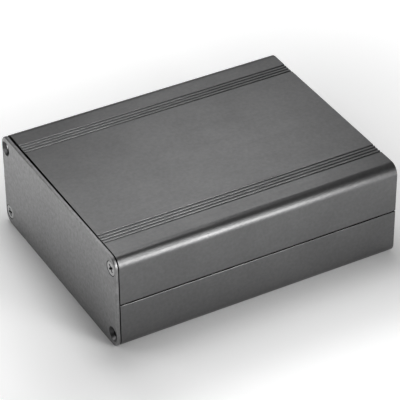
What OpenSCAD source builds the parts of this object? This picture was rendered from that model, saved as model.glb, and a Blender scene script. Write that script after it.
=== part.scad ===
// Split extruded aluminium enclosure: two equal shells that interlock along
// their side walls, closed at one end by a plate that two of its four screws
// still hold, and open at the other.
// X runs along the extrusion, Y across it and Z up from the resting face.

/* [Case] */
// Length of both extruded shells
case_len = 110; // [60:1:200]
// Width over the side walls
case_w = 88; // [76:1:140]
// Height of the closed case
case_h = 38; // [37:1:70]
// Outer radius along the four long edges
edge_r = 4; // [1:0.5:4.5]
// Thickness of the top and bottom walls
wall = 1.8; // [1.2:0.1:2.4]
// Thickness of the side walls
side_wall = 2; // [1.6:0.1:2.4]

/* [Surface grooves] */
// Grooves in each of the two groups
groove_count = 4; // [1:1:6]
// From the side of the case to the first groove's middle
groove_inset = 11; // [8:0.1:16]
// Distance from one groove to the next
groove_pitch = 1.55; // [1.3:0.05:2.4]
// Radius of a groove's floor
groove_r = 0.5; // [0.4:0.05:0.6]
// Depth of a groove
groove_depth = 0.4; // [0.2:0.05:0.5]

/* [Parting joint] */
// Thickness of the side wall where it is widened for the joint
rim_w = 3.4; // [3.2:0.1:4]
// Height of the widened rim
rim_h = 3; // [2.4:0.1:3.2]
// Thickness of the lip outside the joint's groove
lip_t = 1.1; // [0.9:0.1:1.3]
// Width of the tongue
tongue_w = 1; // [0.8:0.1:1.2]
// How far the tongue passes the parting plane
tongue_h = 1.6; // [1:0.1:1.8]
// Clearance on each side of the tongue and at its tip
joint_clear = 0.1; // [0.05:0.05:0.2]
// Height of the reveal that shows as a dark line outside
reveal_h = 0.45; // [0.2:0.05:0.8]

/* [Board slots] */
// Slots along each side wall of a shell
slot_count = 2; // [1:1:2]
// Height of a slot
slot_h = 1.9; // [1.7:0.1:2.2]
// Thickness of the rails between the slots
rail_t = 1.2; // [0.8:0.1:1.2]
// How far a rail stands out from the side wall
rail_d = 1.4; // [1:0.1:2]

/* [Screw channels] */
// From the side of the case to a channel's axis
screw_in_y = 3.25; // [3.2:0.05:4.5]
// From the top or bottom of the case to a channel's axis
screw_in_z = 5; // [4.6:0.1:6]
// Bore of a channel, for thread-forming M3 screws
channel_d = 2.8; // [2.6:0.05:3]
// Metal around a channel
channel_wall = 1.5; // [1.2:0.1:1.6]
// Width of the opening along a channel
channel_gap = 1.2; // [0.8:0.1:1.4]

/* [End plate] */
// Thickness of the plate
plate_t = 1.3; // [1.3:0.1:2.5]
// Chamfer around the plate's outer face
plate_chamfer = 0.25; // [0.1:0.05:0.3]
// Gap between the shells and the plate's near edge
plate_gap = 0.25; // [0.1:0.05:0.4]
// How much further its far edge stands off
plate_lift = 0.6; // [0:0.05:0.8]
// Through hole for a plate screw
plate_hole_d = 3.4; // [3.2:0.1:3.6]
// How much wider a countersink's rim is than the head in it
sink_clear = 0.5; // [0.4:0.1:0.6]

/* [Plate screws] */
// Length under the plate's outer face
screw_len = 8; // [6:1:12]
// Diameter of the shank, over its thread
shank_d = 2.6; // [2.4:0.05:2.6]
// Diameter of the countersunk head
head_d = 5.2; // [5:0.05:5.2]
// Height of the straight rim around the head
head_rim = 0.1; // [0.05:0.05:0.15]
// How far the head lies below the plate's face
head_sink = 0.1; // [0.05:0.05:0.1]
// Width over the wings of the cross recess
recess_d = 3.2; // [2.6:0.1:3.4]
// Thickness of a wing
recess_t = 0.8; // [0.5:0.05:0.9]
// Depth of the recess
recess_h = 1.3; // [0.8:0.1:1.5]

/* [Hidden] */
$fn = 64;
over = 1;
half_h = case_h / 2;
groove_w = tongue_w + 2 * joint_clear;
groove_floor = tongue_h + joint_clear;
boss_r = channel_d / 2 + channel_wall;
sink_d = head_d + sink_clear;
lean = asin(plate_lift / case_w);
overall_l = case_len + plate_gap + plate_t * cos(lean) + (case_w - plate_chamfer) * sin(lean);
shell_x = overall_l / 2 - case_len;
screw_y = case_w / 2 - screw_in_y;
recess_turns = [37, 20];

// ---- shell section: across, and up from the parting plane ----

module both_sides() {
    children();
    mirror([1, 0]) children();
}

// Outside of one shell, with its two rounded edges.
module shell_outline() {
    translate([-case_w / 2, 0]) square([case_w, half_h - edge_r]);
    translate([-case_w / 2 + edge_r, 0]) square([case_w - 2 * edge_r, half_h]);
    for (x = [edge_r - case_w / 2, case_w / 2 - edge_r]) {
        translate([x, half_h - edge_r]) circle(r = edge_r);
    }
}

// Walls with square corners, which the outline then rounds.
module walls() {
    both_sides() translate([case_w / 2 - side_wall, 0]) square([side_wall, half_h]);
    translate([-case_w / 2, half_h - wall]) square([case_w, wall]);
}

// The side wall's widened rim, which holds the joint and is the first slot's floor.
module rim() {
    translate([case_w / 2 - rim_w, 0]) square([rim_w, rim_h]);
}

// Rails with round noses, one above each board slot.
module rails() {
    nose = rail_t / 2;
    for (i = [1 : slot_count]) {
        low = rim_h + i * slot_h + (i - 1) * rail_t;
        tip = case_w / 2 - side_wall - rail_d;
        translate([tip + nose, low]) square([rail_d - nose + side_wall / 2, rail_t]);
        translate([tip + nose, low + nose]) circle(r = nose);
    }
}

// Round boss under the corner, joined to both walls.
module boss() {
    translate([screw_y, half_h - screw_in_z]) {
        circle(r = boss_r);
        translate([-boss_r, 0]) square([boss_r + screw_in_y, screw_in_z]);
    }
}

// Screw channel, open along its inner side.
module channel() {
    translate([screw_y, half_h - screw_in_z]) {
        circle(d = channel_d);
        translate([-boss_r - over, -channel_gap / 2]) square([boss_r + over, channel_gap]);
    }
}

module tongue() {
    tip_r = tongue_w / 2;
    translate([case_w / 2 - lip_t - joint_clear - tongue_w, 0]) {
        translate([0, tip_r - tongue_h]) square([tongue_w, tongue_h - tip_r + rim_h / 2]);
        translate([tip_r, tip_r - tongue_h]) circle(r = tip_r);
    }
}

module tongue_groove() {
    floor_r = groove_w / 2;
    translate([-case_w / 2 + lip_t, 0]) {
        translate([0, -over]) square([groove_w, groove_floor - floor_r + over]);
        translate([floor_r, groove_floor - floor_r]) circle(r = floor_r);
    }
}

// The wall outside the tongue ends short of the other shell's lip.
module reveal() {
    translate([case_w / 2 - lip_t - joint_clear, -over])
        square([lip_t + joint_clear + over, reveal_h + over]);
}

module surface_grooves() {
    for (i = [0 : groove_count - 1]) {
        translate([case_w / 2 - groove_inset - i * groove_pitch, half_h - groove_depth + groove_r])
            circle(r = groove_r);
    }
}

// Both shells are this section: a tongue on the right meets a groove on the left.
module shell_section() {
    difference() {
        intersection() {
            shell_outline();
            union() {
                walls();
                both_sides() {
                    rim();
                    rails();
                    boss();
                }
            }
        }
        both_sides() {
            channel();
            surface_grooves();
        }
        tongue_groove();
        reveal();
    }
    tongue();
}

module shell() {
    rotate([90, 0, 90]) linear_extrude(case_len) shell_section();
}

// ---- end plate: across, up, and out from its inner face ----

// Slab with rounded corners and a chamfer around its outer face.
module chamfered_slab(w, h, r, t, c) {
    column = [[0, 0], [r, 0], [r, t - c], [r - c, t], [0, t]];
    for (x = [-w / 2 + r, w / 2 - r], y = [r, h - r]) {
        translate([x, y, 0]) rotate_extrude() polygon(column);
    }
    translate([-w / 2 + r, 0, 0]) rotate([90, 0, 90])
        linear_extrude(w - 2 * r) slab_section(h, t, c);
    translate([w / 2, r, 0]) rotate([90, 0, 180])
        linear_extrude(h - 2 * r) slab_section(w, t, c);
}

// Section of the slab between its corners, w wide and t high.
module slab_section(w, t, c) {
    polygon([[0, 0], [w, 0], [w, t - c], [w - c, t], [c, t], [0, t - c]]);
}

module countersunk_hole() {
    sink_h = (sink_d - plate_hole_d) / 2;
    translate([0, 0, -over]) cylinder(d = plate_hole_d, h = plate_t + 2 * over);
    translate([0, 0, plate_t - sink_h])
        cylinder(d1 = plate_hole_d, d2 = sink_d + 2 * over, h = sink_h + over);
}

module plate_body() {
    difference() {
        chamfered_slab(case_w, case_h, edge_r, plate_t, plate_chamfer);
        for (x = [-screw_y, screw_y], y = [screw_in_z, case_h - screw_in_z]) {
            translate([x, y, 0]) countersunk_hole();
        }
    }
}

// Thread-forming screw, its head's rim at z = 0 and its shank below.
module plate_screw(turn) {
    head_h = (head_d - shank_d) / 2;
    tip_h = shank_d / 4;
    difference() {
        union() {
            translate([0, 0, -head_rim]) cylinder(d = head_d, h = head_rim);
            translate([0, 0, -head_rim - head_h]) cylinder(d1 = shank_d, d2 = head_d, h = head_h);
            translate([0, 0, tip_h - screw_len]) cylinder(d = shank_d, h = screw_len - tip_h - head_rim);
            translate([0, 0, -screw_len]) cylinder(d1 = shank_d / 2, d2 = shank_d, h = tip_h);
        }
        rotate(turn) cross_recess();
    }
}

module cross_recess() {
    intersection() {
        translate([0, 0, -recess_h]) cylinder(d1 = recess_t, d2 = recess_d, h = recess_h + 0.001);
        union() {
            for (a = [0, 90]) {
                rotate(a) translate([0, 0, -recess_h / 2]) cube([recess_d, recess_t, recess_h + 1], center = true);
            }
        }
    }
}

// Stands a flat part against the shells' near end, leaning on its near edge.
module on_case_end() {
    translate([shell_x - plate_gap, -case_w / 2, 0])
        rotate([0, 0, lean])
            translate([0, case_w / 2, 0])
                rotate([90, 0, -90]) children();
}

// ---- sub-parts ----

module upper_shell() {
    color([0.27, 0.27, 0.28])
        translate([shell_x, 0, half_h]) shell();
}

module lower_shell() {
    color([0.25, 0.25, 0.26])
        translate([shell_x, 0, half_h]) rotate([180, 0, 0]) shell();
}

module end_plate() {
    color([0.32, 0.32, 0.33]) on_case_end() plate_body();
}

// Two screws on one diagonal; the other two holes are empty.
module plate_screws() {
    spots = [[screw_y, case_h - screw_in_z], [-screw_y, screw_in_z]];
    color([0.4, 0.4, 0.41]) on_case_end() {
        for (i = [0, 1]) {
            translate([spots[i].x, spots[i].y, plate_t - head_sink]) plate_screw(recess_turns[i]);
        }
    }
}

upper_shell();
lower_shell();
end_plate();
plate_screws();
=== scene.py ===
import math
import bpy
from mathutils import Matrix, Vector


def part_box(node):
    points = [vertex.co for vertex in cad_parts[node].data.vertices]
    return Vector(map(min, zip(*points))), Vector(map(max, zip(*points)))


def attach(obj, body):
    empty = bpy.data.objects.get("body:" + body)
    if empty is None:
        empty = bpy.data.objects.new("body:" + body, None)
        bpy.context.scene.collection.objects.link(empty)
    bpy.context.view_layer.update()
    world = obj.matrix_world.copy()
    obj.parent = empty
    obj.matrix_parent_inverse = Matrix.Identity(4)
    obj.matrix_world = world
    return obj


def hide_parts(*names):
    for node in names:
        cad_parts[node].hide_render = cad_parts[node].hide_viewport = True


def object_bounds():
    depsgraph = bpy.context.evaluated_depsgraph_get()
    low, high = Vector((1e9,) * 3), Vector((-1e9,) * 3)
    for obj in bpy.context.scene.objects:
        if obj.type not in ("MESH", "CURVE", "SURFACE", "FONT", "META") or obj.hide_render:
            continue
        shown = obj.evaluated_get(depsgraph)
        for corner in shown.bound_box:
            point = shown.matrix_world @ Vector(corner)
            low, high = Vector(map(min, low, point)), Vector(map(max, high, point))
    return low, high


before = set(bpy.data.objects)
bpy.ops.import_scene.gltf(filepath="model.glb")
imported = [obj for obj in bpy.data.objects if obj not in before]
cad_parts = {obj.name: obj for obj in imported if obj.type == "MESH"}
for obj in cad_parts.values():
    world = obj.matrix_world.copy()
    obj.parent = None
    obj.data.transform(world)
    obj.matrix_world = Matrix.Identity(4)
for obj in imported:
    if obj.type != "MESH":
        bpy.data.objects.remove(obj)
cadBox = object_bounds()
boxLow, boxHigh = Vector(cadBox[0]), Vector(cadBox[1])
boxCentre = (boxLow + boxHigh) / 2
mm = 0.001
print("frame loaded")


# ---- helpers ----

def makeActive(piece):
    if bpy.context.mode != "OBJECT":
        bpy.ops.object.mode_set(mode="OBJECT")
    bpy.ops.object.select_all(action="DESELECT")
    piece.select_set(True)
    bpy.context.view_layer.objects.active = piece


def copyOfNode(nodeName, pieceName):
    # loose triangles of the node become one closed skin with clean flat faces
    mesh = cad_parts[nodeName].data.copy()
    piece = bpy.data.objects.new(pieceName, mesh)
    bpy.context.scene.collection.objects.link(piece)
    makeActive(piece)
    bpy.ops.object.mode_set(mode="EDIT")
    bpy.ops.mesh.select_all(action="SELECT")
    bpy.ops.mesh.remove_doubles(threshold=0.0005 * mm)
    bpy.ops.mesh.dissolve_limited(angle_limit=math.radians(0.5))
    bpy.ops.object.mode_set(mode="OBJECT")
    if mesh.has_custom_normals:
        bpy.ops.mesh.customdata_custom_splitnormals_clear()
    return piece


def roundEdges(piece, width, segments, sharperThan):
    makeActive(piece)
    bevel = piece.modifiers.new("edges", "BEVEL")
    bevel.width = width
    bevel.segments = segments
    bevel.limit_method = "ANGLE"
    bevel.angle_limit = math.radians(sharperThan)
    bevel.use_clamp_overlap = False
    bpy.ops.object.modifier_apply(modifier=bevel.name)
    bpy.ops.object.shade_smooth_by_angle(angle=math.radians(50))
    weighted = piece.modifiers.new("normals", "WEIGHTED_NORMAL")
    weighted.keep_sharp = True
    weighted.weight = 100
    bpy.ops.object.modifier_apply(modifier=weighted.name)


def bevelChosen(piece, chosen, width, segments):
    # chosen holds edge numbers; whatever was selected before is let go first
    makeActive(piece)
    bpy.ops.object.mode_set(mode="EDIT")
    bpy.ops.mesh.select_mode(type="EDGE")
    bpy.ops.mesh.select_all(action="DESELECT")
    bpy.ops.object.mode_set(mode="OBJECT")
    for number in chosen:
        piece.data.edges[number].select = True
    bpy.ops.object.mode_set(mode="EDIT")
    bpy.ops.mesh.bevel(offset=width, segments=segments, affect="EDGES")
    bpy.ops.object.mode_set(mode="OBJECT")


def dress(piece, nodeName, material):
    piece.data.materials.clear()
    piece.data.materials.append(material)
    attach(piece, "root")
    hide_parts(nodeName)


# ---- materials ----

def newMaterial(name):
    material = bpy.data.materials.new(name)
    material.use_nodes = True
    nodes = material.node_tree.nodes
    return material, nodes, material.node_tree.links, nodes["Principled BSDF"]


def noiseNode(nodes, links, coordinate, stretch, detail, roughness):
    # stretch is features per metre along x, y and z
    mapping = nodes.new("ShaderNodeMapping")
    mapping.inputs["Scale"].default_value = stretch
    noise = nodes.new("ShaderNodeTexNoise")
    noise.inputs["Scale"].default_value = 1
    noise.inputs["Detail"].default_value = detail
    noise.inputs["Roughness"].default_value = roughness
    links.new(coordinate, mapping.inputs["Vector"])
    links.new(mapping.outputs["Vector"], noise.inputs["Vector"])
    return noise.outputs["Fac"]


def rangeNode(nodes, links, value, low, high):
    remap = nodes.new("ShaderNodeMapRange")
    remap.inputs["From Min"].default_value = 0.3
    remap.inputs["From Max"].default_value = 0.7
    remap.inputs["To Min"].default_value = low
    remap.inputs["To Max"].default_value = high
    links.new(value, remap.inputs["Value"])
    return remap.outputs["Result"]


def greyRamp(nodes, links, value, dark, light):
    ramp = nodes.new("ShaderNodeValToRGB")
    ramp.color_ramp.elements[0].position = 0.3
    ramp.color_ramp.elements[1].position = 0.7
    ramp.color_ramp.elements[0].color = (*dark, 1)
    ramp.color_ramp.elements[1].color = (*light, 1)
    links.new(value, ramp.inputs["Fac"])
    return ramp.outputs["Color"]


anodised = dict(shell=(0.138, 0.138, 0.139), plate=(0.22, 0.22, 0.221), spread=0.06,
                roughness=0.36, roughnessSpread=0.04,
                drawnPerMetre=(25, 2600, 2600), cloudPerMetre=60,
                grainBump=0.7, drawnBump=0.12)


def anodisedMaterial(name, colour, drawn, blast, per, roughness):
    material, nodes, links, shader = newMaterial(name)
    place = nodes.new("ShaderNodeTexCoord").outputs["Object"]
    grain = noiseNode(nodes, links, place, (per, per, per), 3, 0.6)
    streaks = noiseNode(nodes, links, place, anodised["drawnPerMetre"], 3, 0.5)
    cloud = anodised["cloudPerMetre"]
    clouds = noiseNode(nodes, links, place, (cloud, cloud, cloud), 3, 0.5)
    spread = anodised["spread"]
    dark = tuple(c * (1 - spread) for c in colour)
    light = tuple(c * (1 + spread) for c in colour)
    tint = nodes.new("ShaderNodeMix")
    tint.data_type = "RGBA"
    tint.blend_type = "MULTIPLY"
    tint.inputs["Factor"].default_value = 1
    links.new(greyRamp(nodes, links, clouds, dark, light), tint.inputs["A"])
    links.new(greyRamp(nodes, links, grain, (1 - blast,) * 3, (1 + blast,) * 3), tint.inputs["B"])
    links.new(tint.outputs["Result"], shader.inputs["Base Color"])
    rough = anodised["roughnessSpread"]
    links.new(rangeNode(nodes, links, streaks, roughness - rough, roughness + rough),
              shader.inputs["Roughness"])
    shader.inputs["Metallic"].default_value = 1
    bumpGrain = nodes.new("ShaderNodeBump")
    bumpGrain.inputs["Strength"].default_value = anodised["grainBump"]
    bumpGrain.inputs["Distance"].default_value = 0.01 * mm
    links.new(grain, bumpGrain.inputs["Height"])
    bumpDrawn = nodes.new("ShaderNodeBump")
    bumpDrawn.inputs["Strength"].default_value = anodised["drawnBump"] * drawn
    bumpDrawn.inputs["Distance"].default_value = 0.01 * mm
    links.new(streaks, bumpDrawn.inputs["Height"])
    links.new(bumpGrain.outputs["Normal"], bumpDrawn.inputs["Normal"])
    links.new(bumpDrawn.outputs["Normal"], shader.inputs["Normal"])
    return material


def sawnMaterial(name, colour):
    # faint arcs of a saw blade across the cut ends
    material, nodes, links, shader = newMaterial(name)
    place = nodes.new("ShaderNodeTexCoord").outputs["Object"]
    mapping = nodes.new("ShaderNodeMapping")
    mapping.inputs["Location"].default_value = (0, 0.16, 0.09)
    links.new(place, mapping.inputs["Vector"])
    arcs = nodes.new("ShaderNodeTexWave")
    arcs.wave_type = "RINGS"
    arcs.rings_direction = "X"
    arcs.inputs["Scale"].default_value = 420
    arcs.inputs["Distortion"].default_value = 3
    arcs.inputs["Detail"].default_value = 2
    links.new(mapping.outputs["Vector"], arcs.inputs["Vector"])
    grain = noiseNode(nodes, links, place, (4000, 4000, 4000), 2, 0.6)
    dark = tuple(c * 0.92 for c in colour)
    links.new(greyRamp(nodes, links, grain, dark, colour), shader.inputs["Base Color"])
    links.new(rangeNode(nodes, links, arcs.outputs["Fac"], 0.34, 0.44), shader.inputs["Roughness"])
    shader.inputs["Metallic"].default_value = 1
    bump = nodes.new("ShaderNodeBump")
    bump.inputs["Strength"].default_value = 0.25
    bump.inputs["Distance"].default_value = 0.01 * mm
    links.new(arcs.outputs["Fac"], bump.inputs["Height"])
    links.new(bump.outputs["Normal"], shader.inputs["Normal"])
    return material


def paintedShadeMaterial(name, colour):
    # black painted shade: faces deep in the joint, in the recesses and behind the plate are coloured near
    # black where shade falls
    material, nodes, links, shader = newMaterial(name)
    place = nodes.new("ShaderNodeTexCoord").outputs["Object"]
    grain = noiseNode(nodes, links, place, (1500, 1500, 1500), 3, 0.6)
    dark = tuple(c * 0.7 for c in colour)
    links.new(greyRamp(nodes, links, grain, dark, colour), shader.inputs["Base Color"])
    links.new(rangeNode(nodes, links, grain, 0.55, 0.75), shader.inputs["Roughness"])
    shader.inputs["Specular IOR Level"].default_value = 0.1
    return material


shellFinish = anodisedMaterial("anodised_shell", anodised["shell"], 1, 0.08, 800, anodised["roughness"])
sawnFinish = sawnMaterial("anodised_cut", anodised["shell"])
# near-black painted shade for the joint, the recesses and the faces behind the plate
blackPaintedShadeFinish = paintedShadeMaterial("anodised_black_painted_shade", (0.015, 0.015, 0.015))
plateFinish = anodisedMaterial("anodised_plate", anodised["plate"], 0, 0.19, 700,
                               anodised["roughness"] + 0.02)
# dim painted shade for the deep part of the surface grooves and the cones of the empty countersinks
dimPaintedShadeFinish = anodisedMaterial("anodised_dim_painted_shade", (0.06, 0.06, 0.061), 1, 0.08, 1000, anodised["roughness"])


def screwMaterial():
    material, nodes, links, shader = newMaterial("screw_steel")
    place = nodes.new("ShaderNodeTexCoord").outputs["Object"]
    grain = noiseNode(nodes, links, place, (5000, 5000, 5000), 3, 0.6)
    links.new(greyRamp(nodes, links, grain, (0.36,) * 3, (0.44,) * 3), shader.inputs["Base Color"])
    links.new(rangeNode(nodes, links, grain, 0.25, 0.4), shader.inputs["Roughness"])
    shader.inputs["Metallic"].default_value = 1
    return material


screwFinish = screwMaterial()
print("materials made")


# ---- shells, plate, screws ----

edges = dict(shell=0.05 * mm, joint=0.24 * mm, plate=0.06 * mm, screw=0.04 * mm)
# the joint lies inside the side walls, this near to the outside and to the parting plane; its faces get
# black painted shade
joint = dict(skin=0.06 * mm, depth=3.5 * mm, reach=1.9 * mm)
# the deep part of a surface groove, measured down from the top or up from the bottom, which gets painted
# shade
groove = dict(shallow=0.14 * mm, deep=0.38 * mm, inset=6 * mm)


def roundJoint(piece):
    # the long outer edges on both sides of the dark seam
    parting = (boxLow.z + boxHigh.z) / 2
    outside = boxHigh.y - 0.02 * mm
    points = piece.data.vertices
    chosen = []
    for edge in piece.data.edges:
        ends = [points[i].co for i in edge.vertices]
        if abs(ends[0].x - ends[1].x) > 50 * mm and all(
                abs(end.y) > outside and abs(end.z - parting) < joint["reach"] for end in ends):
            chosen.append(edge.index)
    bevelChosen(piece, chosen, edges["joint"], 3)
    print("joint edges rounded", len(chosen))


def finishAndShadeShell(piece):
    # the cut ends are sawn; the joint and the end behind the plate get black painted shade, and the deep
    # part of the grooves a dimmer painted shade
    for finish in (sawnFinish, blackPaintedShadeFinish, dimPaintedShadeFinish):
        piece.data.materials.append(finish)
    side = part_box("upper_shell")[1][1]
    parting = (boxLow.z + boxHigh.z) / 2
    for face in piece.data.polygons:
        inset = side - abs(face.center.y)
        depth = min(boxHigh.z - face.center.z, face.center.z - boxLow.z)
        if face.normal.x > 0.9:
            face.material_index = 1
        elif face.normal.x < -0.9:
            face.material_index = 2
        elif groove["shallow"] < depth < groove["deep"] and inset > groove["inset"]:
            face.material_index = 3
        elif joint["skin"] < inset < joint["depth"] and abs(face.center.z - parting) < joint["reach"]:
            face.material_index = 2


for nodeName, pieceName in (("upper_shell", "UpperShell"), ("lower_shell", "LowerShell")):
    shell = copyOfNode(nodeName, pieceName)
    roundJoint(shell)
    roundEdges(shell, edges["shell"], 2, 25)
    dress(shell, nodeName, shellFinish)
    finishAndShadeShell(shell)
print("shells made")


def paintShadeInRecesses(piece):
    # black painted shade inside the cross and on the rim around each head
    piece.data.materials.append(blackPaintedShadeFinish)
    for side in (-1, 1):
        head = [v.co for v in piece.data.vertices if v.co.y * side > 0]
        top = min(point.x for point in head)
        middle = sum((point for point in head), Vector()) / len(head)
        for face in piece.data.polygons:
            depth = face.center.x - top
            away = math.hypot(face.center.y - middle.y, face.center.z - middle.z)
            if face.center.y * side < 0 or depth > 1.45 * mm:
                continue
            inCross = away < 1.6 * mm and depth > 0.03 * mm
            onRim = away > 2.5 * mm and face.normal.x > -0.5
            if inCross or onRim:
                face.material_index = 1


plateForm = dict(rollover=0.25 * mm, holeInset=(3.25 * mm, 5 * mm), holeReach=3.2 * mm)


def nearHole(spot, sides):
    # sides picks the holes: 1 for the screwed pair, -1 for the empty pair
    across = boxHigh.y - plateForm["holeInset"][0]
    up = boxCentre.z - boxLow.z - plateForm["holeInset"][1]
    turned = spot.y * (spot.z - boxCentre.z) < 0
    away = math.hypot(abs(spot.y) - across, abs(spot.z - boxCentre.z) - up)
    return away < plateForm["holeReach"] and (1 if turned else -1) in sides


def rollInnerEdge(piece):
    # the punched plate's edge is rounded over on its inner side
    facing = {}
    for face in piece.data.polygons:
        for key in face.edge_keys:
            facing.setdefault(key, []).append(face.normal.x)
    points = piece.data.vertices
    chosen = []
    for edge in piece.data.edges:
        middle = (points[edge.vertices[0]].co + points[edge.vertices[1]].co) / 2
        both = facing[edge.key]
        if max(both) > 0.9 and min(both) < 0.5 and not nearHole(middle, (1, -1)):
            chosen.append(edge.index)
    bevelChosen(piece, chosen, plateForm["rollover"], 4)
    print("plate edges rounded", len(chosen))


plate = copyOfNode("end_plate", "EndPlate")
rollInnerEdge(plate)
roundEdges(plate, edges["plate"], 2, 25)
dress(plate, "end_plate", plateFinish)
# black painted shade on the plate's inner face, the hole walls and the screwed holes' countersinks; dim
# painted shade on the empty countersinks' cones
plate.data.materials.append(blackPaintedShadeFinish)
plate.data.materials.append(dimPaintedShadeFinish)
for face in plate.data.polygons:
    flank = nearHole(face.center, (1, -1))
    if face.normal.x > 0.3 or (flank and face.normal.x > -0.5) or (
            face.normal.x > -0.9 and nearHole(face.center, (1,))):
        face.material_index = 1
    elif flank and face.normal.x > -0.9:
        face.material_index = 2
screws = copyOfNode("plate_screws", "PlateScrews")
roundEdges(screws, edges["screw"], 2, 30)
dress(screws, "plate_screws", screwFinish)
paintShadeInRecesses(screws)
print("plate and screws made")


# ---- floor, world, lamps, camera ----

# lift is the paper's glow with a painted contact shadow around the part: weak against the part, more at
# nearReach, most at farReach
floorPlan = dict(size=6, colour=(0.9, 0.9, 0.9), lift=(0, 0.32, 1),
                 nearReach=40 * mm, farReach=170 * mm)


def glowWithPaintedShadow(nodes, links, place):
    # distance from the part's footprint
    corner = nodes.new("ShaderNodeVectorMath")
    corner.operation = "ABSOLUTE"
    links.new(place, corner.inputs[0])
    beyond = nodes.new("ShaderNodeVectorMath")
    beyond.operation = "SUBTRACT"
    beyond.inputs[1].default_value = (boxHigh.x, boxHigh.y, 0)
    links.new(corner.outputs["Vector"], beyond.inputs[0])
    outside = nodes.new("ShaderNodeVectorMath")
    outside.operation = "MAXIMUM"
    links.new(beyond.outputs["Vector"], outside.inputs[0])
    gap = nodes.new("ShaderNodeVectorMath")
    gap.operation = "LENGTH"
    links.new(outside.outputs["Vector"], gap.inputs[0])
    weak, middle, full = floorPlan["lift"]
    nearPart = nodes.new("ShaderNodeMapRange")
    nearPart.inputs["From Max"].default_value = floorPlan["nearReach"]
    nearPart.inputs["To Min"].default_value = weak
    nearPart.inputs["To Max"].default_value = middle
    farPart = nodes.new("ShaderNodeMapRange")
    farPart.inputs["From Min"].default_value = floorPlan["nearReach"]
    farPart.inputs["From Max"].default_value = floorPlan["farReach"]
    farPart.inputs["To Max"].default_value = full - middle
    total = nodes.new("ShaderNodeMath")
    for slot, part in enumerate((nearPart, farPart)):
        links.new(gap.outputs["Value"], part.inputs["Value"])
        links.new(part.outputs["Result"], total.inputs[slot])
    return total.outputs["Value"]


def makeFloor():
    bpy.ops.object.select_all(action="DESELECT")
    bpy.ops.mesh.primitive_plane_add(size=floorPlan["size"], location=(0, 0, boxLow.z))
    floor = bpy.context.object
    floor.name = "Floor"
    material, nodes, links, shader = newMaterial("floor_paper")
    place = nodes.new("ShaderNodeTexCoord").outputs["Object"]
    grain = noiseNode(nodes, links, place, (400, 400, 400), 3, 0.6)
    base = floorPlan["colour"]
    links.new(greyRamp(nodes, links, grain, tuple(c * 0.99 for c in base), base),
              shader.inputs["Base Color"])
    shader.inputs["Roughness"].default_value = 0.9
    shader.inputs["Specular IOR Level"].default_value = 0.2
    # the paper looks white to the eye and in the metal, and lights nothing itself
    path = nodes.new("ShaderNodeLightPath").outputs
    seen = path["Is Camera Ray"]
    for ray in ("Is Glossy Ray", "Is Transmission Ray"):
        either = nodes.new("ShaderNodeMath")
        either.operation = "MAXIMUM"
        links.new(seen, either.inputs[0])
        links.new(path[ray], either.inputs[1])
        seen = either.outputs["Value"]
    # the glow's dip near the part is a painted shadow, seen by the camera and in the metal
    glow = nodes.new("ShaderNodeMath")
    glow.operation = "MULTIPLY"
    links.new(seen, glow.inputs[0])
    links.new(glowWithPaintedShadow(nodes, links, place), glow.inputs[1])
    links.new(glow.outputs["Value"], shader.inputs["Emission Strength"])
    shader.inputs["Emission Color"].default_value = (1, 1, 1, 1)
    floor.data.materials.append(material)


def makeWorld():
    world = bpy.data.worlds.new("studio")
    world.use_nodes = True
    bpy.context.scene.world = world
    room = world.node_tree.nodes["Background"]
    room.inputs["Color"].default_value = (1, 1, 1, 1)
    room.inputs["Strength"].default_value = 0.12


# at is from the middle of the part, in mm; azimuth 0 looks from in front of the near side
# and 90 from past the open end, with the elevation above the floor
lamps = dict(
    backKey=dict(at=(-10, 200, 270), azimuth=150, elevation=40, size=(80, 80), spread=180, power=0.16),
    backSoft=dict(at=(140, 220, 240), azimuth=145, elevation=35, size=(140, 120), spread=180, power=0.11),
    frontSoft=dict(at=(80, -270, 160), azimuth=20, elevation=25, size=(90, 80), spread=180, power=0.13),
    frontKey=dict(at=(100, -350, 60), azimuth=20, elevation=10, size=(100, 100), spread=40, power=0.028),
    low=dict(at=(20, -220, 20), azimuth=0, elevation=0, size=(140, 60), spread=180, power=0.055),
    nearTop=dict(at=(-10, -150, 120), azimuth=0, elevation=90, size=(50, 50), spread=180, power=0.04),
    leftLow=dict(at=(-160, 50, 40), azimuth=-105, elevation=15, size=(100, 60), spread=180, power=0.065),
    overhead=dict(at=(20, 60, 380), azimuth=180, elevation=85, size=(140, 140), spread=90, power=0.09),
)


def makeLamp(name, plan):
    turn, lift = math.radians(plan["azimuth"]), math.radians(plan["elevation"])
    way = Vector((math.sin(turn) * math.cos(lift), -math.cos(turn) * math.cos(lift), math.sin(lift)))
    light = bpy.data.lights.new(name, "AREA")
    light.shape = "RECTANGLE"
    light.size, light.size_y = (side * mm for side in plan["size"])
    light.spread = math.radians(plan["spread"])
    light.energy = plan["power"]
    lamp = bpy.data.objects.new(name, light)
    lamp.location = boxCentre + Vector(plan["at"]) * mm
    lamp.rotation_euler = way.to_track_quat("Z", "Y").to_euler()
    lamp.visible_camera = False
    bpy.context.scene.collection.objects.link(lamp)


view = dict(azimuth=-28.8, elevation=35.7, roll=-0.45, distance=775 * mm, lens=194,
            aim=(-0.1 * mm, -2.1 * mm, -1.7 * mm))


def makeCamera():
    turn = Matrix.Rotation(math.radians(view["azimuth"]), 4, "Z")
    tilt = Matrix.Rotation(math.radians(90 - view["elevation"]), 4, "X")
    roll = Matrix.Rotation(math.radians(view["roll"]), 4, "Z")
    facing = turn @ tilt @ roll
    camera = bpy.data.cameras.new("Camera")
    camera.lens = view["lens"]
    camera.sensor_width = 36
    holder = bpy.data.objects.new("Camera", camera)
    spot = boxCentre + Vector(view["aim"]) + facing @ Vector((0, 0, view["distance"]))
    holder.matrix_world = Matrix.Translation(spot) @ facing
    bpy.context.scene.collection.objects.link(holder)
    bpy.context.scene.camera = holder


makeFloor()
makeWorld()
for lampName, plan in lamps.items():
    makeLamp(lampName, plan)
makeCamera()
bpy.context.scene.view_settings.view_transform = "Standard"
print("studio made")
